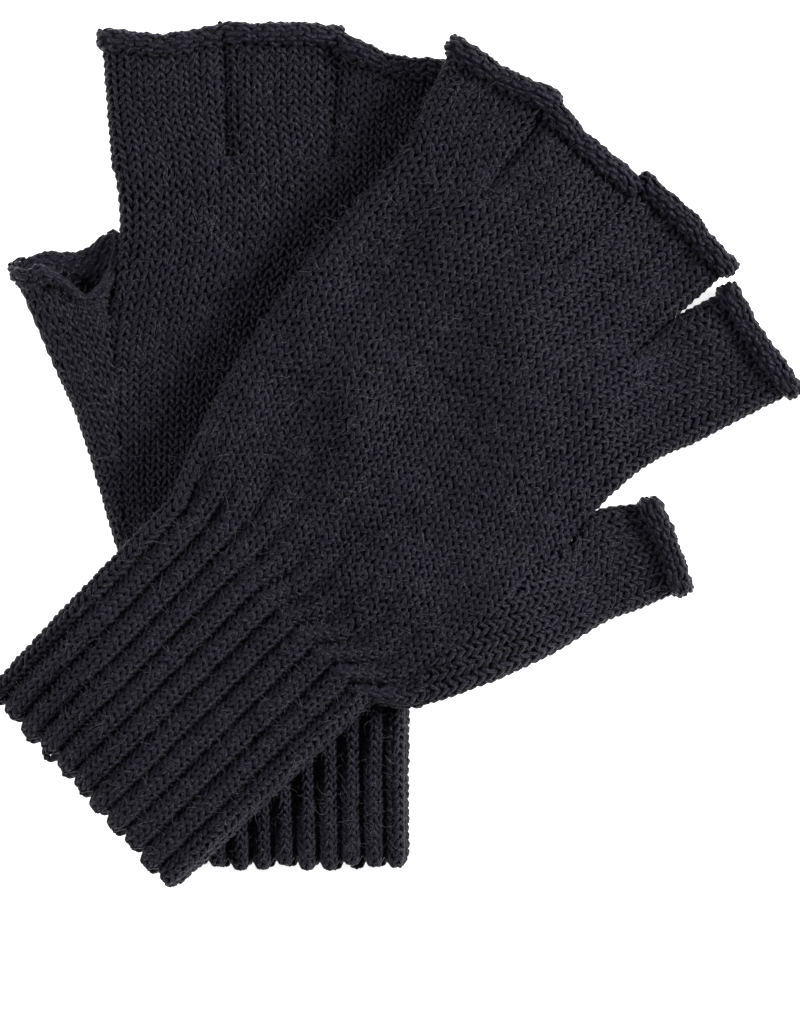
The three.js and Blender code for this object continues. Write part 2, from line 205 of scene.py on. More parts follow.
# ---------------------------------------------------------------- surfaces
def curve(points, t, at):
    """Smooth curve through the points, with knots t, at the parameters at; runs straight on past both ends."""
    points, t = np.asarray(points, float), np.asarray(t, float)
    m = np.gradient(points, t, axis=0) if len(t) > 2 else np.repeat(((points[1] - points[0]) / (t[1] - t[0]))[None], 2, 0)
    a = np.clip(at, t[0], t[-1])
    i = np.clip(np.searchsorted(t, a, side="right") - 1, 0, len(t) - 2)
    h = (t[i + 1] - t[i])[:, None]
    s = ((a - t[i])[:, None]) / h
    out = ((2 * s**3 - 3 * s**2 + 1) * points[i] + (s**3 - 2 * s**2 + s) * h * m[i]
           + (-2 * s**3 + 3 * s**2) * points[i + 1] + (s**3 - s**2) * h * m[i + 1])
    return out + (at - a)[:, None] * np.where((at < t[0])[:, None], m[0], m[-1])


class Tube:
    """A flat tube of fabric. rows run along it, each a left and right side point in layout mm."""

    def __init__(self, data, rows, rows_bot=None, zb=SKIN, zt=9.4 - SKIN, side=5.6 - SKIN, inset=SKIN, line=None, sag=(0.0, 0.0, 1.0)):
        self.data = data
        top = np.array([[r[0], r[1]] for r in rows], float)
        bot = top if rows_bot is None else np.array([[r[0], r[1]] for r in rows_bot], float)

        def pull(r):
            d = r[:, 1] - r[:, 0]
            d /= np.linalg.norm(d, axis=1, keepdims=True)
            return np.stack([r[:, 0] + d * inset, r[:, 1] - d * inset], 1)

        top, bot = pull(top), pull(bot)
        mid = top.mean(1)
        knots = np.r_[0, np.cumsum(np.linalg.norm(np.diff(mid, axis=0), axis=1))]
        self.length = knots[-1]
        knots = knots / knots[-1]
        self.v = np.linspace(-0.12, 1.12, 249)
        self.rows = [curve(top[:, 0], knots, self.v), curve(top[:, 1], knots, self.v),
                     curve(bot[:, 0], knots, self.v), curve(bot[:, 1], knots, self.v)]
        self.zb = zb if callable(zb) else (lambda v: zb + 0 * v)
        self.zt = zt if callable(zt) else (lambda v: zt + 0 * v)
        self.side = side
        self.sag = sag
        self.line = None
        if line is not None:
            line = np.asarray(line, float)
            L, R = self.row(np.array([1.0]))[0][0], self.row(np.array([1.0]))[1][0]
            w = R - L
            u = (line - L) @ w / (w @ w)
            self.line = (u, line - (L + u[:, None] * w))

    def row(self, v):
        return [np.stack([np.interp(v, self.v, r[:, k]) for k in (0, 1)], -1) for r in self.rows]

    def shape(self, v):
        Lt, Rt, Lb, Rb = self.row(v)
        W = np.linalg.norm(Rt - Lt, axis=-1)
        h = (self.zt(v) - self.zb(v)) / 2
        e = np.minimum(self.side, W * 0.3)
        q = math.pi / 2 * np.sqrt((e**2 + h**2) / 2)
        return Lt, Rt, Lb, Rb, W, h, e, q, (W - 2 * e) + 2 * q

    def at(self, f, v):
        """f 0..1 crosses the upper face from left to right and 1..2 comes back underneath; v 0..1 runs along."""
        Lt, Rt, Lb, Rb, W, h, e, q, half = self.shape(v)
        g = np.mod(f, 2.0)
        front = g <= 1
        if self.sag[:2] != (0.0, 0.0):
            across = np.where(front, g, 2 - g) ** self.sag[2]
            v = v - np.where(front, *self.sag[:2]) / self.length * np.sin(math.pi * across) ** 2 * smooth(v, 0.3, 1.0)
            Lt, Rt, Lb, Rb, W, h, e, q, half = self.shape(v)
        fr = np.where(front, g, 2 - g)
        sg = np.where(front, 1.0, -1.0)
        arc = fr * half
        pl, pr = np.clip(arc / q, 0, 1) * math.pi / 2, np.clip((half - arc) / q, 0, 1) * math.pi / 2
        left, right = arc < q, arc > half - q
        x = np.where(left, e - e * np.cos(pl), np.where(right, W - e + e * np.cos(pr), e + arc - q))
        zz = np.where(left, h * np.sin(pl), np.where(right, h * np.sin(pr), h))
        nx = np.where(left, -np.cos(pl) * h, np.where(right, np.cos(pr) * h, 0.0))
        nz = np.where(left, np.sin(pl) * e, np.where(right, np.sin(pr) * e, 1.0))
        m = np.hypot(nx, nz)
        nx, nz = nx / m, nz / m * sg
        u = x / W
        k = (zz * sg / h + 1) / 2
        pt = Lt + (Rt - Lt) * u[..., None]
        pb = Lb + (Rb - Lb) * u[..., None]
        xy = pb + (pt - pb) * k[..., None]
        if self.line is not None:
            bend = np.stack([np.interp(u, self.line[0], self.line[1][:, i]) for i in (0, 1)], -1)
            xy = xy + bend * smooth(v, 0.45, 1.0)[..., None]
        d = (Rt - Lt) / W[..., None]
        z = (self.zt(v) + self.zb(v)) / 2 + zz * sg
        return (np.concatenate([xy, z[..., None]], -1),
                np.concatenate([d * nx[..., None], nz[..., None]], -1))


# ---------------------------------------------------------------- ribbing
RIB = np.array([0.0, 0.385, 0.77, 1.0])         # where the wales of one rib lie across it: two knit, one purl


def rib_place(a):
    """Wale coordinate to evenly spread coordinate, for ribbing drawn together."""
    base = np.floor(a / 3) * 3
    return base + 3 * np.interp(a - base, [0, 1, 2, 3], RIB)


def rib_height(a):
    """Rounded ridge over the two knit wales, deep furrow at the purl wale."""
    base = np.floor(a / 3) * 3
    r = np.interp(a - base, [0, 1, 2, 3], RIB)
    x = np.abs(np.mod(r - 0.385 + 0.5, 1.0) - 0.5)
    return 0.9 - 2.9 * smooth(x, 0.12, 0.5)


def rib_sign(t):
    """+1 on knit wales and -1 on purl wales, turning over between them."""
    k = np.floor(t)
    own = np.where(np.mod(k, 3) == 2, -1.0, 1.0)
    prev = np.where(np.mod(k - 1, 3) == 2, -1.0, 1.0)
    nxt = np.where(np.mod(k + 1, 3) == 2, -1.0, 1.0)
    x = t - k
    w0, w1 = 0.5 * (1 - smooth(x, 0, 0.22)), 0.5 * smooth(x, 0.78, 1.0)
    return own * (1 - w0 - w1) + prev * w0 + nxt * w1


# ---------------------------------------------------------------- knitting
def noise_line(rows, n, step, amp):
    """Smooth random numbers along each of the rows."""
    k = rng.normal(0, amp, (rows, int(n / step) + 3))
    x = np.arange(n) / step
    i = x.astype(int)
    f = smooth(x - i)
    return k[:, i] * (1 - f) + k[:, i + 1] * f


def knit(surface, courses, a0, a1, samples, ribbed=None):
    """Points, normals and yarn radius of the given courses between wales a0 and a1.
    surface(a, b) gives place and normal in the row frame. Returns arrays (course, sample, 3)."""
    t = a0 + np.arange(int(round((a1 - a0) * samples)) + 1) / samples
    j = np.asarray(courses, float)[:, None]
    T = np.broadcast_to(t, (len(courses), len(t)))
    step = samples / 2
    a = T + AMP_A * np.sin(4 * math.pi * T) + noise_line(len(j), len(t), step, 0.045)
    b = j - AMP_B * np.cos(2 * math.pi * T) + noise_line(len(j), len(t), step, 0.07)
    n = -AMP_C * np.cos(4 * math.pi * T)
    if ribbed is not None:
        n = n * (1 - ribbed + ribbed * rib_sign(T))
    n = n + noise_line(len(j), len(t), step, 0.09)
    P, N = surface(a, b)
    P = P + N * n[..., None]
    r = YARN_R * (1 + noise_line(len(j), len(t), step, 0.06))
    return P, N, r


def on_floor(P, low, knee=0.7):
    """Fabric lying on the floor flattens against it instead of sinking in."""
    z = P[..., 2]
    top = low + knee
    pressed = low + knee * np.exp(np.minimum(z - top, 0.0) / knee)
    return np.concatenate([P[..., :2], np.where(z < top, pressed, z)[..., None]], -1)


def yarn_mesh(name, P, N, r, keep=None, sides=6, tone=None):
    """Round yarn round the paths. P and N are (path, sample, 3) in mm."""
    rows, count = P.shape[:2]
    P = on_floor(P, 0.97 * np.asarray(r))
    T = np.gradient(P, axis=1)
    T /= np.linalg.norm(T, axis=-1, keepdims=True) + 1e-12
    B = np.cross(T, N)
    B /= np.linalg.norm(B, axis=-1, keepdims=True) + 1e-12
    M = np.cross(B, T)
    ang = 2 * math.pi * np.arange(sides) / sides
    V = (P[:, :, None] + r[:, :, None, None]
         * (np.cos(ang)[None, None, :, None] * B[:, :, None] + np.sin(ang)[None, None, :, None] * M[:, :, None]))
    run = np.concatenate([np.zeros((rows, 1)), np.cumsum(np.linalg.norm(np.diff(P, axis=1), axis=-1), axis=1)], 1)
    ok = np.ones((rows, count - 1), bool) if keep is None else keep[:, :-1] & keep[:, 1:]
    pi, pj = np.nonzero(ok)
    pi, pj = pi[:, None], pj[:, None]
    k = np.arange(sides)[None]
    k2 = (k + 1) % sides

    def vid(i, j, k):
        return ((i * count + j) * sides + k)

    F = np.stack([vid(pi, pj, k), vid(pi, pj + 1, k), vid(pi, pj + 1, k2), vid(pi, pj, k2)], -1).reshape(-1, 4)
    used = np.zeros(rows * count * sides, bool)
    used[F.ravel()] = True
    new = np.cumsum(used) - 1
    F = new[F]
    V = V.reshape(-1, 3)[used] / 1000.0
    me = bpy.data.meshes.new(name)
    me.vertices.add(len(V))
    me.vertices.foreach_set("co", V.astype(np.float32).ravel())
    me.loops.add(F.size)
    me.loops.foreach_set("vertex_index", F.astype(np.int32).ravel())
    me.polygons.add(len(F))
    me.polygons.foreach_set("loop_start", (np.arange(len(F)) * 4).astype(np.int32))
    me.polygons.foreach_set("use_smooth", np.ones(len(F), bool))
    # yarn coordinates: once round the yarn, and millimetres along it
    u0 = np.broadcast_to(k / sides, (len(pi), sides))
    u1 = u0 + 1.0 / sides
    l0 = run[pi, pj] * np.ones((1, sides))
    l1 = run[pi, pj + 1] * np.ones((1, sides))
    uv = np.stack([np.stack([u0, l0], -1), np.stack([u0, l1], -1), np.stack([u1, l1], -1), np.stack([u1, l0], -1)], 2)
    layer = me.uv_layers.new(name="Yarn")
    layer.data.foreach_set("uv", uv.astype(np.float32).ravel())
    # a chart with every yarn in its own strip
    s0, s1 = (pj / (count - 1.0)) * np.ones((1, sides)), ((pj + 1) / (count - 1.0)) * np.ones((1, sides))
    c0 = (pi + 0.04 + 0.92 * u0) / rows
    c1 = (pi + 0.04 + 0.92 * u1) / rows
    uv = np.stack([np.stack([s0, c0], -1), np.stack([s1, c0], -1), np.stack([s1, c1], -1), np.stack([s0, c1], -1)], 2)
    layer = me.uv_layers.new(name="OFBake")
    layer.data.foreach_set("uv", (0.002 + 0.996 * uv).astype(np.float32).ravel())
    me.uv_layers["Yarn"].active_render = True
    me.uv_layers.active = me.uv_layers["Yarn"]
    me.update(calc_edges=True)
    if tone is None:
        tone = 1.0 + noise_line(rows, count, 9, 0.10) + rng.normal(0, 0.05, (rows, 1))
    col = np.repeat(tone.reshape(-1), sides)[used]
    attribute = me.attributes.new("Tone", "FLOAT", "POINT")
    attribute.data.foreach_set("value", col.astype(np.float32))
    ob = bpy.data.objects.new(name, me)
    bpy.context.scene.collection.objects.link(ob)
    return ob


def pinhole_shade_sheet(name, surface, a0, a1, b0, b1, depth=0.45, keep=None):
    """Painted shade: a dark sheet just under the loops, which closes the pinholes between them and stands where the
    shade inside the glove would show through.
    """
    a = np.linspace(a0, a1, int(round((a1 - a0) * 2)) + 1)
    b = np.linspace(b0, b1, int(round(b1 - b0)) + 1)
    A, Bb = np.meshgrid(a, b)
    P, N = surface(A, Bb)
    V = on_floor(P - N * depth, 0.6, 0.5).reshape(-1, 3) / 1000
    i, j = np.mgrid[0:len(b) - 1, 0:len(a) - 1]
    F = np.stack([i * len(a) + j, i * len(a) + j + 1, (i + 1) * len(a) + j + 1, (i + 1) * len(a) + j], -1).reshape(-1, 4)
    if keep is not None:
        K = keep(A, Bb).ravel()
        F = F[K[F].all(1)]
    me = bpy.data.meshes.new(name)
    me.from_pydata(V.tolist(), [], F.tolist())
    me.shade_smooth()
    ob = bpy.data.objects.new(name, me)
    bpy.context.scene.collection.objects.link(ob)
    return ob


def fuzz(name, P, N, count, radius=0.04, keep=None):
    """Loose fibres standing off the yarn."""
    rows, cols = P.shape[:2]
    i, j = rng.integers(0, rows, count), rng.integers(0, cols, count)
    if keep is not None:
        ok = keep[i, j]
        i, j = i[ok], j[ok]
        count = len(i)
    p, n = P[i, j], N[i, j]
    t = np.cross(n, rng.normal(size=(count, 3)))
    t /= np.linalg.norm(t, axis=1, keepdims=True) + 1e-9
    length = rng.gamma(3.0, 0.75, count).clip(0.8, 6.5)
    rise = rng.uniform(0.15, 1.0, count)
    d = t * np.sqrt(1 - (0.75 * rise[:, None]) ** 2) + n * 0.75 * rise[:, None]
    c = np.cross(d, rng.normal(size=(count, 3)))
    c /= np.linalg.norm(c, axis=1, keepdims=True) + 1e-9
    bend = rng.normal(0, 0.9, count)
    steps = 5
    u = np.linspace(0, 1, steps)
    pts = [p + n * 0.35]
    for k in range(1, steps):
        ang = bend * u[k] * 1.6
        step = d * np.cos(ang)[:, None] + c * np.sin(ang)[:, None] - n * (0.25 * u[k] ** 2)
        pts.append(pts[-1] + step * (length / (steps - 1))[:, None])
    Q = np.stack(pts, 1)
    Q[..., 2] = np.maximum(Q[..., 2], 0.06)
    M = np.broadcast_to(n[:, None], Q.shape)
    r = radius * (1 - 0.75 * u)[None] * rng.uniform(0.7, 1.3, (count, 1))
    return yarn_mesh(name, Q, M, r, sides=3, tone=np.ones((count, steps)))


# ---------------------------------------------------------------- wool
def wool(name, base, sheen=0.05, rough=0.42):
    m = bpy.data.materials.new(name)
    m.use_nodes = True
    nt = m.node_tree
    bsdf = nt.nodes["Principled BSDF"]
    bsdf.inputs["Roughness"].default_value = rough
    bsdf.inputs["Specular IOR Level"].default_value = 0.165
    bsdf.inputs["Specular Tint"].default_value = (0.90, 0.86, 1.0, 1)
    bsdf.inputs["Sheen Weight"].default_value = sheen
    bsdf.inputs["Sheen Roughness"].default_value = 0.45
    bsdf.inputs["Sheen Tint"].default_value = (0.75, 0.75, 1.0, 1)
    tone = nt.nodes.new("ShaderNodeAttribute")
    tone.attribute_name = "Tone"
    coord = nt.nodes.new("ShaderNodeTexCoord")
    # random flecks from 0.6 to 1.7 times the base colour: partly the wool's own uneven tone, partly painted fibre
    # glints
    fleck_and_glint_noise = nt.nodes.new("ShaderNodeTexNoise")
    fleck_and_glint_noise.inputs["Scale"].default_value = 2200
    fleck_and_glint_noise.inputs["Detail"].default_value = 3
    nt.links.new(coord.outputs["Object"], fleck_and_glint_noise.inputs["Vector"])
    ramp = nt.nodes.new("ShaderNodeValToRGB")
    ramp.color_ramp.elements[0].position = 0.3
    ramp.color_ramp.elements[0].color = tuple(c * 0.6 for c in base) + (1,)
    ramp.color_ramp.elements[1].position = 0.78
    ramp.color_ramp.elements[1].color = tuple(c * 1.7 for c in base) + (1,)
    nt.links.new(fleck_and_glint_noise.outputs["Fac"], ramp.inputs["Fac"])
    mix = nt.nodes.new("ShaderNodeVectorMath")
    mix.operation = "SCALE"
    nt.links.new(ramp.outputs["Color"], mix.inputs[0])
    nt.links.new(tone.outputs["Fac"], mix.inputs["Scale"])
    # pale streaks along the yarn that scale the base colour from 0.55 up to 5.4 times: partly pale fibres in the yarn,
    # partly painted glints and sparkle on the loops
    glint_streak_map = nt.nodes.new("ShaderNodeVectorMath")
    glint_streak_map.operation = "MULTIPLY"
    glint_streak_map.inputs[1].default_value = (9.0, 0.9, 1.0)
    glint_streak = nt.nodes.new("ShaderNodeTexNoise")
    glint_streak.inputs["Scale"].default_value = 1.0
    glint_streak.inputs["Detail"].default_value = 2
    glint_streak_ramp = nt.nodes.new("ShaderNodeValToRGB")
    glint_streak_ramp.color_ramp.elements[0].position = 0.42
    glint_streak_ramp.color_ramp.elements[0].color = (0.55, 0.55, 0.55, 1)
    glint_streak_ramp.color_ramp.elements[1].position = 0.74
    glint_streak_ramp.color_ramp.elements[1].color = (5.4, 5.4, 5.4, 1)
    lit = nt.nodes.new("ShaderNodeVectorMath")
    lit.operation = "MULTIPLY"
    nt.links.new(glint_streak_map.outputs[0], glint_streak.inputs["Vector"])
    nt.links.new(glint_streak.outputs["Fac"], glint_streak_ramp.inputs["Fac"])
    nt.links.new(mix.outputs[0], lit.inputs[0])
    nt.links.new(glint_streak_ramp.outputs["Color"], lit.inputs[1])
    nt.links.new(lit.outputs[0], bsdf.inputs["Base Color"])
    # two plies twisted together, and the fibres along them
    uv = nt.nodes.new("ShaderNodeUVMap")
    uv.uv_map = "Yarn"
    split = nt.nodes.new("ShaderNodeSeparateXYZ")
    nt.links.new(uv.outputs["UV"], split.inputs[0])
    turns = nt.nodes.new("ShaderNodeMath")
    turns.operation = "MULTIPLY_ADD"
    turns.inputs[1].default_value = 0.42
    nt.links.new(split.outputs["Y"], turns.inputs[0])
    nt.links.new(split.outputs["X"], turns.inputs[2])
    wave = nt.nodes.new("ShaderNodeMath")
    wave.operation = "MULTIPLY"
    wave.inputs[1].default_value = 4 * math.pi
    nt.links.new(turns.outputs[0], wave.inputs[0])
    ply = nt.nodes.new("ShaderNodeMath")
    ply.operation = "SINE"
    nt.links.new(wave.outputs[0], ply.inputs[0])
    fibre = nt.nodes.new("ShaderNodeTexNoise")
    fibre.inputs["Scale"].default_value = 1.0
    fibre.inputs["Detail"].default_value = 4
    stretch = nt.nodes.new("ShaderNodeVectorMath")
    stretch.operation = "MULTIPLY"
    stretch.inputs[1].default_value = (14.0, 2.2, 1.0)
    join = nt.nodes.new("ShaderNodeCombineXYZ")
    nt.links.new(turns.outputs[0], join.inputs["X"])
    nt.links.new(split.outputs["Y"], join.inputs["Y"])
    nt.links.new(join.outputs[0], stretch.inputs[0])
    nt.links.new(join.outputs[0], glint_streak_map.inputs[0])
    nt.links.new(stretch.outputs[0], fibre.inputs["Vector"])
    total = nt.nodes.new("ShaderNodeMath")
    total.operation = "MULTIPLY_ADD"
    total.inputs[1].default_value = 0.35
    nt.links.new(ply.outputs[0], total.inputs[0])
    nt.links.new(fibre.outputs["Fac"], total.inputs[2])
    bump = nt.nodes.new("ShaderNodeBump")
    bump.inputs["Strength"].default_value = 0.8
    bump.inputs["Distance"].default_value = 0.00028
    nt.links.new(total.outputs[0], bump.inputs["Height"])
    nt.links.new(bump.outputs[0], bsdf.inputs["Normal"])
    return m


WOOL = wool("black_wool", (0.0031, 0.00285, 0.0046))
WOOL_RIB = wool("black_wool_rib", (0.0034, 0.0032, 0.0051))
WOOL_RIM = wool("black_wool_rim", (0.0034, 0.0031, 0.0050))
WOOL_KNOT = wool("black_wool_knot", (0.0033, 0.0031, 0.0048))
# loose fibres coloured pale grey, far lighter than the black yarn: painted sheen of light catching them
FUZZ_PAINTED_SHEEN = bpy.data.materials.new("wool_fuzz_painted_sheen")
FUZZ_PAINTED_SHEEN.use_nodes = True
_b = FUZZ_PAINTED_SHEEN.node_tree.nodes["Principled BSDF"]
_b.inputs["Base Color"].default_value = (0.085, 0.083, 0.098, 1)
_b.inputs["Roughness"].default_value = 0.75
_b.inputs["Sheen Weight"].default_value = 0.1
# bluish dark colour of the sheet that closes the pinholes: painted shade of the glove's inside seen through them
PINHOLE_SHADE = bpy.data.materials.new("pinhole_shade")
PINHOLE_SHADE.use_nodes = True
_b = PINHOLE_SHADE.node_tree.nodes["Principled BSDF"]
_b.inputs["Base Color"].default_value = (0.0075, 0.0070, 0.0110, 1)
_b.inputs["Roughness"].default_value = 1.0
_b.inputs["Specular IOR Level"].default_value = 0.1

# ---------------------------------------------------------------- one glove


def finish_piece(ob, material, body, nodes=(), blend=None):
    ob.data.materials.append(material)
    if nodes:
        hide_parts(*nodes)
    if blend:
        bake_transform(ob)
    else:
        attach(ob, body)
    return ob


def seam_x(data, x, y):
    """Signed distance, mm, from the line where the gusset joins the hand; positive on the thumb's side."""
    s = loc(data, data["seam"])
    xs = np.interp(y, s[::-1, 1], s[::-1, 0])
    d = (x - xs) * data["thumb_sign"]
    return d, y > s[0, 1], y < s[-1, 1]


def build(data):
    side = data["side"]
    hand_body = side + "_glove"
    sign = data["thumb_sign"]
    L = lambda pts: loc(data, pts)
    S_TOP, S_LOW = (12, 8)

    # --- the cuff
    cuff = Tube(data, [L(r) for r in data["cuff"]], zb=SKIN + 0.7, zt=10 - SKIN - 0.7)
    nc = int(round(cuff.length / COURSE))

    wobble = rng.uniform(-0.35, 0.35, 22)

    def cuff_surface(a, b):
        edge = smooth(b, 5.0, 0.0)
        lip = smooth(b, 1.0, -0.9)
        scallop = (0.9 - rib_height(a)) / 2.9
        v = (b + 0.75 + edge * (1.25 * scallop + wobble[np.mod(np.floor(a / 3).astype(int), 22)])) / nc
        p, n = cuff.at(rib_place(a) / NF, v)
        p = p + n * (rib_height(a) * (1 - 0.45 * lip) - 0.75 * lip)[..., None]
        return place(data, p, n)

    ribbed = 1.0
    for part, a0, a1, smp in (("back", -1, NF + 1, S_TOP), ("palm", NF + 1, 2 * NF - 1, S_LOW)):
        P, N, r = knit(cuff_surface, np.arange(nc), a0, a1, smp, ribbed=1.0)
        ob = yarn_mesh(f"{side}_cuff_{part}", P, N, r * 0.97)
        finish_piece(ob, WOOL_RIB, hand_body, (f"{side}_cuff",))
        finish_piece(fuzz(f"{side}_cuff_{part}_fuzz", P, N, 3800 if part == "back" else 900), FUZZ_PAINTED_SHEEN, hand_body)
    finish_piece(pinhole_shade_sheet(f"{side}_cuff_inner", cuff_surface, 0, 2 * NF, 0.3, nc + 0.5), PINHOLE_SHADE, hand_body)
    # first row of the knitting, looped along the edge
    t = np.arange(0, 2 * NF * 8 + 1) / 8
    a, b = t[None], np.full((1, len(t)), -0.62) + 0.16 * np.cos(2 * math.pi * t)[None]
    P, N = cuff_surface(a, b)
    P = P + N * (0.45 * np.sin(2 * math.pi * t))[None, :, None]
    ob = yarn_mesh(f"{side}_cuff_edge", P, N, np.full(P.shape[:2], YARN_R * 0.95))
    finish_piece(ob, WOOL_RIB, hand_body)

    # --- the hand
    hand = Tube(data, [L(r) for r in data["palm"]], line=L(data["line"]))
    nh = int(round(hand.length / COURSE))

    def hand_surface(a, b):
        w = 1 - smooth(b, 2, 9)
        v = b / nh
        p, n = hand.at((a + w * (rib_place(a) - a)) / NF, v)
        p = p + n * (rib_height(a) * (1 - smooth(b, 1, 13)))[..., None]
        d, above, below = seam_x(data, p[..., 0], p[..., 1])
        dip = np.where(above | below, 0, smooth(d, -1.0, 0.7)) * 0.9
        p = p - n * dip[..., None]
        return place(data, p, n)

    def hand_keep(a0, a1, courses, smp):
        t = a0 + np.arange(int(round((a1 - a0) * smp)) + 1) / smp
        a = np.broadcast_to(t, (len(courses), len(t)))
        b = np.broadcast_to(np.asarray(courses, float)[:, None], a.shape)
        w = 1 - smooth(b, 2, 9)
        p, n = hand.at((a + w * (rib_place(a) - a)) / NF, b / nh)
        d, above, below = seam_x(data, p[..., 0], p[..., 1])
        return above | below | (d < 0.5)

    half = nh // 2
    for part, a0, a1, smp, cs in (
        ("back_lower", -1, NF + 1, S_TOP, np.arange(0, half)),
        ("back_upper", -1, NF + 1, S_TOP, np.arange(half, nh)),
        ("palm", NF + 1, 2 * NF - 1, S_LOW, np.arange(0, nh)),
    ):
        P, N, r = knit(hand_surface, cs, a0, a1, smp, ribbed=(1 - smooth(cs, 2, 4))[:, None])
        keep = hand_keep(a0, a1, cs, smp)
        ob = yarn_mesh(f"{side}_hand_{part}", P, N, r, keep)
        finish_piece(ob, WOOL, hand_body, (f"{side}_hand",))
        finish_piece(fuzz(f"{side}_hand_{part}_fuzz", P, N, 3300 if part != "palm" else 1200, keep=keep), FUZZ_PAINTED_SHEEN, hand_body)

    def in_hand(a, b):
        w = 1 - smooth(b, 2, 9)
        p, n = hand.at((a + w * (rib_place(a) - a)) / NF, b / nh)
        d, above, below = seam_x(data, p[..., 0], p[..., 1])
        return above | below | (d < 1.9)

    finish_piece(pinhole_shade_sheet(f"{side}_hand_inner", hand_surface, 0, 2 * NF, -0.5, nh + 0.5, keep=in_hand), PINHOLE_SHADE, hand_body)

    # --- the gusset and thumb
    base, tip = data["gusset"][-1], data["thumb_top"]
    def longer(b, t, more):
        """Tip points moved out along the tube."""
        d = t.mean(0) - b.mean(0)
        return t + d / np.linalg.norm(d) * more

    out = data["thumb_more"]
    last = L(data["gusset"][-1])
    way = [L(r) for r in data["gusset"]] + ([L(data["thumb_mid"])] if data["thumb_mid"] else [])
    rows = way + [longer(last, L(data["thumb_top"]), out)]
    rows_b = way + [longer(last, L(data["thumb_bot"]), out)]
    g_len = sum(np.linalg.norm(L(data["gusset"][i + 1]).mean(0) - L(data["gusset"][i]).mean(0)) for i in range(len(data["gusset"]) - 1))

    def tip_zb(v0):
        return lambda v: SKIN + 1.5 * smooth(v, v0, 1.0)

    thumb = Tube(data, rows, rows_b, sag=data["thumb_sag"])
    split = g_len / thumb.length
    thumb.zb = tip_zb(split + (1 - split) * 0.3)
    nt = int(round(thumb.length / COURSE))
    nt0 = int(round(split * nt))
    tn = data["thumb_n"]

    def tube_surface(tube, n, wales, mapping=None, clip=False, roll_by=([0, 2], [1, 1])):
        def rolled(a, v):
            f = a / wales if mapping is None else mapping(a, v)
            return tube.at(f, v)

        def surface(a, b):
            v = np.minimum(b / n, 1.0)
            p, nn = rolled(a, v)
            if clip:
                d, above, below = seam_x(data, p[..., 0], p[..., 1])
                dip = np.where(above, 0, smooth(-d, -1.0, 0.7)) * 0.9
                p = p - nn * dip[..., None]
            q, m = place(data, p, nn)
            over = np.maximum(b - n, 0) * COURSE
            if over.max() <= 0:
                return q, m
            p2, n2 = rolled(a, np.full_like(v, 0.985))
            q2, m2 = place(data, p2, n2)
            p1, n1 = rolled(a, np.ones_like(v))
            q1, m1 = place(data, p1, n1)
            ax = q1 - q2
            ax /= np.linalg.norm(ax, axis=-1, keepdims=True)
            flat = np.abs(nn[..., 2])
            uneven = (1 + 0.10 * np.sin(a * 0.9 + n) + 0.07 * np.sin(a * 2.3 + 2 * n)) * np.interp(np.mod(a / wales, 2), *roll_by)
            rn = (0.65 + (RIM_N - 0.65) * flat * np.where(nn[..., 2] > 0, 1.0, 0.5)) * uneven
            rx = RIM_AX * uneven
            phi = over / (0.5 * (RIM_AX + rn))
            roll = (ax * (rx * np.sin(phi))[..., None] + m1 * (rn * (1 - np.cos(phi)))[..., None])
            mm = m1 * (np.cos(phi) * rx)[..., None] - ax * (np.sin(phi) * rn)[..., None]
            mm /= np.linalg.norm(mm, axis=-1, keepdims=True)
            rolled_on = (over > 0)[..., None]
            return np.where(rolled_on, q1 + roll, q), np.where(rolled_on, mm, m)
        return surface

    rim_courses = 5
    tsurf = tube_surface(thumb, nt, tn, clip=True, roll_by=data["thumb_roll"])

    def clip_keep(a0, a1, courses, smp):
        t = a0 + np.arange(int(round((a1 - a0) * smp)) + 1) / smp
        a = np.broadcast_to(t, (len(courses), len(t)))
        b = np.broadcast_to(np.asarray(courses, float)[:, None], a.shape)
        p, n = thumb.at(a / tn, np.minimum(b / nt, 1))
        d, above, below = seam_x(data, p[..., 0], p[..., 1])
        return above | (d > -0.5)

    cs = np.arange(0, nt0)
    P, N, r = knit(tsurf, cs, 0, 2 * tn, S_TOP)
    ob = yarn_mesh(f"{side}_gusset", P, N, r, clip_keep(0, 2 * tn, cs, S_TOP))
    finish_piece(ob, WOOL, hand_body)
    finish_piece(fuzz(f"{side}_gusset_fuzz", P, N, 1500, keep=clip_keep(0, 2 * tn, cs, S_TOP)), FUZZ_PAINTED_SHEEN, hand_body)

    def in_gusset(a, b):
        p, n = thumb.at(a / tn, np.minimum(b / nt, 1))
        d, above, below = seam_x(data, p[..., 0], p[..., 1])
        return above | (d > -1.9)

    finish_piece(pinhole_shade_sheet(f"{side}_gusset_inner", tsurf, 0, 2 * tn, 0, nt0, keep=in_gusset), PINHOLE_SHADE, hand_body)
    tb = f"{side}_thumb_tube"
    joint = {j["child"]: j for j in frame["joints"] if j["type"] == "hinge"}

    def reach(base_pts, tip_pts, body, start=-1.0, end=11.0):
        """The body's name and two points on the line from the root towards the tip, start and end mm from the root, in
        the row frame, metres.
        """
        B, T = L(base_pts), L(tip_pts)
        ax = (B[1] - B[0]) / np.linalg.norm(B[1] - B[0])
        n = np.array([-ax[1], ax[0]])
        n = n if n @ (T.mean(0) - B.mean(0)) > 0 else -n
        if side == "left":
            c, s = math.cos(TURN), math.sin(TURN)
            R = np.array([[c, -s], [s, c]])
            n, m = R @ n, R @ B.mean(0)
        else:
            m = B.mean(0)
        z = joint[body]["pos_m"][2]
        m = m + SHIFT
        return (body, tuple(np.r_[(m + n * start) / 1000, z]), tuple(np.r_[(m + n * end) / 1000, z]))

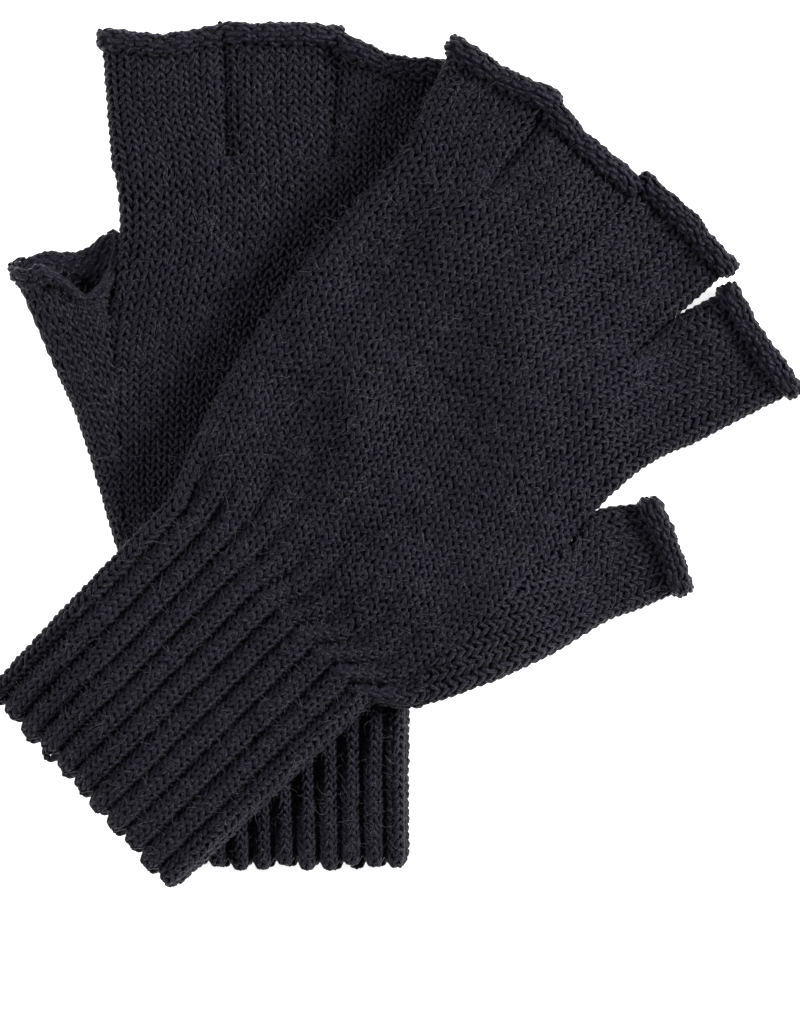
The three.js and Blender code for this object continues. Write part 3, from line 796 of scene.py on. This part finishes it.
    cs = np.arange(nt0, nt + rim_courses)
    P, N, r = knit(tsurf, cs, 0, 2 * tn, S_TOP)
    body_len = nt - nt0
    ob = yarn_mesh(f"{side}_thumb_knit", P[:body_len], N[:body_len], r[:body_len], clip_keep(0, 2 * tn, cs[:body_len], S_TOP))
    info = reach(base, data["thumb_top"], tb, -1.0, 9.0)
    finish_piece(ob, WOOL, hand_body, (f"{side}_thumb",), info)
    ob = yarn_mesh(f"{side}_thumb_roll", P[body_len:], N[body_len:], r[body_len:])
    finish_piece(ob, WOOL_RIM, hand_body, (f"{side}_thumb_rim",), info)
    finish_piece(fuzz(f"{side}_thumb_fuzz", P, N, 1300), FUZZ_PAINTED_SHEEN, hand_body, (), info)
    finish_piece(pinhole_shade_sheet(f"{side}_thumb_inner", tsurf, 0, 2 * tn, nt0, nt + 3.5, keep=in_gusset), PINHOLE_SHADE, hand_body, (), info)

    # --- the fingers
    q1 = np.array([1.0])
    hand_half = float(hand.shape(q1)[8][0])
    for name, (fbase, *fmid, ftip, wales, outer, sag) in data["fingers"].items():
        tube = Tube(data, [L(fbase)] + [L(r) for r in fmid] + [longer(L(fbase), L(ftip), 2.9)], sag=(sag, sag, 1.0))
        tube.zb = tip_zb(0.4)
        n = int(round(tube.length / COURSE))
        # at its root each wale of the finger carries on from a wale of the hand
        W, h, e, q, half_f = (float(x[0]) for x in tube.shape(np.array([0.0]))[4:])
        Lf, Rf = (x[0] for x in tube.row(np.array([0.0]))[:2])
        ks = np.arange(0, NF + 0.25, 0.25)
        hp, _ = hand.at(ks / NF, np.ones_like(ks))
        uf = (hp[:, :2] - Lf) @ (Rf - Lf) / W**2
        s_of = np.interp(uf * W, [e * 0.5, W - e * 0.5], [q - e * 0.55, half_f - q + e * 0.55])
        x_flat = (uf * W > e * 0.9) & (uf * W < W - e * 0.9)
        mid_k = np.interp(0.5, uf, ks)
        k0 = 0 if outer == "L" else NF - wales if outer == "R" else int(round(mid_k - wales / 2))
        ka, kf = [0.0], [0.0]
        for k, ok, u in zip(ks, x_flat, uf):
            a = k - k0
            if ok and 0.6 < a < wales - 0.6:
                ka.append(a)
                kf.append((u * W - e + q) / half_f)
        ka.append(float(wales))
        kf.append(1.0)
        ka, kf = np.array(ka), np.array(kf)

        def mapping(a, v, ka=ka, kf=kf, wales=wales, length=tube.length):
            g = np.mod(a, 2 * wales)
            fr = np.where(g <= wales, g, 2 * wales - g)
            root = np.interp(fr, ka, kf)
            even = fr / wales
            w = smooth(v * length, 0, 14)
            f = root * (1 - w) + even * w
            return np.where(g <= wales, f, 2 - f)

        surf = tube_surface(tube, n, wales, mapping)
        P, N, r = knit(surf, np.arange(0, n + rim_courses), 0, 2 * wales, S_TOP)
        fb = f"{side}_{name}_finger"
        moving = fb in frame["bodies"]
        ob = yarn_mesh(f"{side}_{name}_knit", P[:n], N[:n], r[:n])
        rb = yarn_mesh(f"{side}_{name}_roll", P[n:], N[n:], r[n:])
        info = reach(fbase, ftip, fb) if moving else None
        finish_piece(ob, WOOL, hand_body, (f"{side}_{name}",), info)
        finish_piece(rb, WOOL_RIM, hand_body, (f"{side}_{name}_rim",), info)
        finish_piece(fuzz(f"{side}_{name}_fuzz", P, N, 1500), FUZZ_PAINTED_SHEEN, hand_body, (), info)
        finish_piece(pinhole_shade_sheet(f"{side}_{name}_inner", surf, 0, 2 * wales, -0.5, n + 3.5), PINHOLE_SHADE, hand_body, (), info)

    # --- slack loops of the last row, standing out at some mouths
    for k, (name, at, turn, size) in enumerate(data["loops"]):
        c = L(at)
        t = np.linspace(0, 1, 25)
        w = math.radians(turn)
        lx, ly = 1.55 * size * np.cos(2 * math.pi * t), 0.95 * size * np.sin(2 * math.pi * t)
        p = np.stack([c[0] + lx * math.cos(w) - ly * math.sin(w), c[1] + lx * math.sin(w) + ly * math.cos(w), 6.6 + 0.5 * np.sin(2 * math.pi * t)], -1)
        q, m = place(data, p, np.broadcast_to([0.0, 0.0, 1.0], p.shape))
        ob = yarn_mesh(f"{side}_{name}_loop_{k}", q[None], m[None], np.full((1, len(t)), 0.6))
        fb = f"{side}_{name}_finger"
        finish_piece(ob, WOOL_RIM, fb if fb in frame["bodies"] else hand_body)

    # --- the darned knots
    for name, at in data["forks"].items():
        c = L(at)
        t = np.linspace(0, 1, 70)
        k = rng.uniform(0, 2 * math.pi, 3)
        loopx = 1.75 * np.sin(2 * math.pi * 3 * t + k[0]) * (0.6 + 0.4 * np.cos(2 * math.pi * t))
        loopy = 1.25 * np.sin(2 * math.pi * 2 * t + k[1])
        loopz = 0.65 * np.sin(2 * math.pi * 5 * t + k[2])
        p = np.stack([c[0] + loopx, c[1] + loopy, np.full_like(t, 7.6) + loopz], -1)
        n = np.zeros_like(p)
        n[:, 2] = 1
        q, m = place(data, p, n)
        ob = yarn_mesh(f"{side}_knot_{name}_yarn", q[None], m[None], np.full((1, len(t)), 0.52))
        finish_piece(ob, WOOL_KNOT, hand_body, (f"{side}_knot_{name}",))


build(RIGHT)
build(LEFT)

# ---------------------------------------------------------------- the floor, light and camera
bpy.ops.mesh.primitive_plane_add(size=6)
floor = bpy.context.object
floor.name = "floor"
fm = bpy.data.materials.new("paper")
fm.use_nodes = True
fm.node_tree.nodes["Principled BSDF"].inputs["Base Color"].default_value = (0.92, 0.92, 0.92, 1)
fm.node_tree.nodes["Principled BSDF"].inputs["Roughness"].default_value = 0.9
fm.node_tree.nodes["Principled BSDF"].inputs["Emission Color"].default_value = (1, 1, 1, 1)
fm.node_tree.nodes["Principled BSDF"].inputs["Emission Strength"].default_value = 0.85
floor.data.materials.append(fm)

world = bpy.data.worlds.new("studio")
bpy.context.scene.world = world
world.use_nodes = True
world.node_tree.nodes["Background"].inputs["Color"].default_value = (1, 1, 1, 1)
world.node_tree.nodes["Background"].inputs["Strength"].default_value = 0.24


def area(name, at, size, power, aim=(0, 0, 0)):
    d = bpy.data.lights.new(name, "AREA")
    d.shape = "DISK"
    d.size = size
    d.energy = power
    o = bpy.data.objects.new(name, d)
    o.location = at
    v = np.array(aim) - np.array(at)
    from mathutils import Vector
    o.rotation_euler = Vector(v).to_track_quat("-Z", "Y").to_euler()
    bpy.context.scene.collection.objects.link(o)
    return o


area("key", (1.33, 0.32, 0.74), 0.55, 45)
area("fill", (-1.15, 0.20, 1.0), 0.6, 19)

cam_d = bpy.data.cameras.new("camera")
cam_d.lens = 168.75 * 4
cam_d.sensor_width = 36
cam = bpy.data.objects.new("camera", cam_d)
cam.location = (SHIFT[0] / 1000, SHIFT[1] / 1000, 4.8 + 0.010)
cam_d.clip_end = 50
bpy.context.scene.collection.objects.link(cam)
bpy.context.scene.camera = cam
bpy.context.scene.view_settings.view_transform = "Standard"
